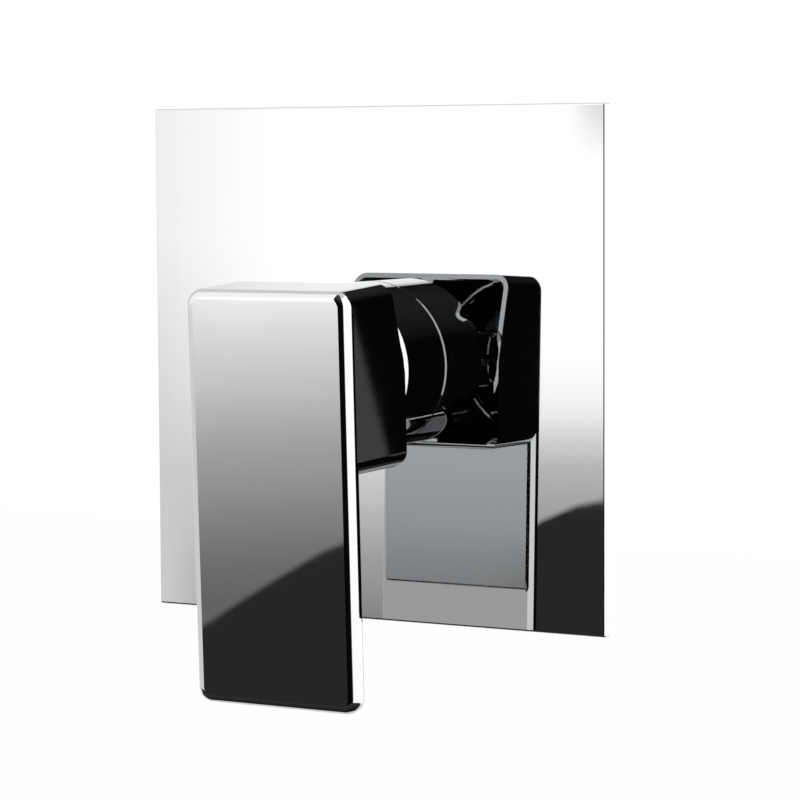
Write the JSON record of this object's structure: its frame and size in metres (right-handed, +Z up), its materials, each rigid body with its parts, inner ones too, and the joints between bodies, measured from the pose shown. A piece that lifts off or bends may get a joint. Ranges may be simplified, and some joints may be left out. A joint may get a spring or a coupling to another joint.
{
  "type": "pressure balance shower valve",
  "caption": "Wall-mounted single-lever shower valve: square mirror plate, round collar and flat slab lever over a brass body with disc cartridge, balance piston and service stops.",
  "frame": {"origin": "on the valve axis, at the centre of the four ear holes on the back face of the body, where it seats on the board in the wall", "axes": "+Z up, -Y out of the wall towards the user, +X towards the cold side (right as seen by the user)"},
  "size_m": [0.165, 0.1242, 0.1845],
  "materials": {
    "chrome": "polished chrome plate, mirror finish",
    "cast_brass": "sand-cast brass, tumbled, machined at the ports",
    "brass": "turned brass",
    "plastic_white": "moulded acetal",
    "plastic_grey": "glass-filled plastic",
    "ceramic": "lapped alumina ceramic",
    "stainless": "stainless steel, turned",
    "steel_black": "black oxide steel",
    "rubber": "black rubber",
    "foam": "closed-cell foam",
    "fibre": "vulcanised fibre",
    "zinc": "zinc die casting"
  },
  "bodies": {
    "valve": {"valve_body": "cast_brass", "tub_port_cap": "brass", "tub_cap_seal": "fibre", "hot_stop_bonnet": "brass", "cold_stop_bonnet": "brass", "balance_sleeve": "plastic_grey", "sleeve_orings": "rubber", "balance_cap": "brass", "cartridge_base": "plastic_grey", "base_seals": "rubber", "fixed_disc": "ceramic", "cartridge_housing": "plastic_white", "cartridge_oring": "rubber", "retaining_nut": "brass", "limit_ring": "plastic_grey", "collar": "chrome", "collar_oring": "rubber", "trim_plate": "chrome", "plate_gasket": "foam"},
    "rotor": {"rotor": "plastic_white", "rotor_oring": "rubber", "lever_pin": "stainless", "limit_cam": "plastic_grey"},
    "lever": {"lever_stem": "stainless", "handle_adapter": "zinc", "adapter_screw": "stainless", "handle": "chrome", "set_screw": "steel_black", "set_screw_plug": "chrome"},
    "discs": {"disc_carrier": "plastic_white", "moving_disc": "ceramic"},
    "piston": {"balance_piston": "stainless"},
    "hot_stop_seal": {"hot_stop_holder": "brass", "hot_stop_washer": "rubber"},
    "hot_stop_screw": {"hot_stop_stem": "brass"},
    "cold_stop_seal": {"cold_stop_holder": "brass", "cold_stop_washer": "rubber"},
    "cold_stop_screw": {"cold_stop_stem": "brass"}
  },
  "joints": [
    {"name": "temperature_turn", "type": "hinge", "parent": "valve", "child": "rotor", "pos_m": [0, 0, 0], "axis": [0, 1, 0], "range_deg": [-50, 50]},
    {"name": "lever_lift", "type": "hinge", "parent": "rotor", "child": "lever", "pos_m": [0, -0.075, 0], "axis": [-1, 0, 0], "range_deg": [0, 20]},
    {"name": "disc_slide", "type": "slide", "parent": "rotor", "child": "discs", "axis": [0, 0, -1], "range_m": [0, 0.00438]},
    {"name": "balance_slide", "type": "slide", "parent": "valve", "child": "piston", "axis": [0, 1, 0], "range_m": [-0.002, 0.002]},
    {"name": "hot_stop_travel", "type": "slide", "parent": "valve", "child": "hot_stop_seal", "axis": [0, 1, 0], "range_m": [0, 0.0071]},
    {"name": "hot_stop_turn", "type": "hinge", "parent": "hot_stop_seal", "child": "hot_stop_screw", "pos_m": [-0.036, -0.035, 0], "axis": [0, 1, 0], "range_deg": [0, 1706]},
    {"name": "cold_stop_travel", "type": "slide", "parent": "valve", "child": "cold_stop_seal", "axis": [0, 1, 0], "range_m": [0, 0.0071]},
    {"name": "cold_stop_turn", "type": "hinge", "parent": "cold_stop_seal", "child": "cold_stop_screw", "pos_m": [0.036, -0.035, 0], "axis": [0, 1, 0], "range_deg": [0, 1706]}
  ],
  "couplings": [
    {"joint": "disc_slide", "follows": "lever_lift", "m_per_rad": 0.0125},
    {"joint": "hot_stop_turn", "follows": "hot_stop_travel", "rad_per_m": 4188.8},
    {"joint": "cold_stop_turn", "follows": "cold_stop_travel", "rad_per_m": 4188.8}
  ]
}
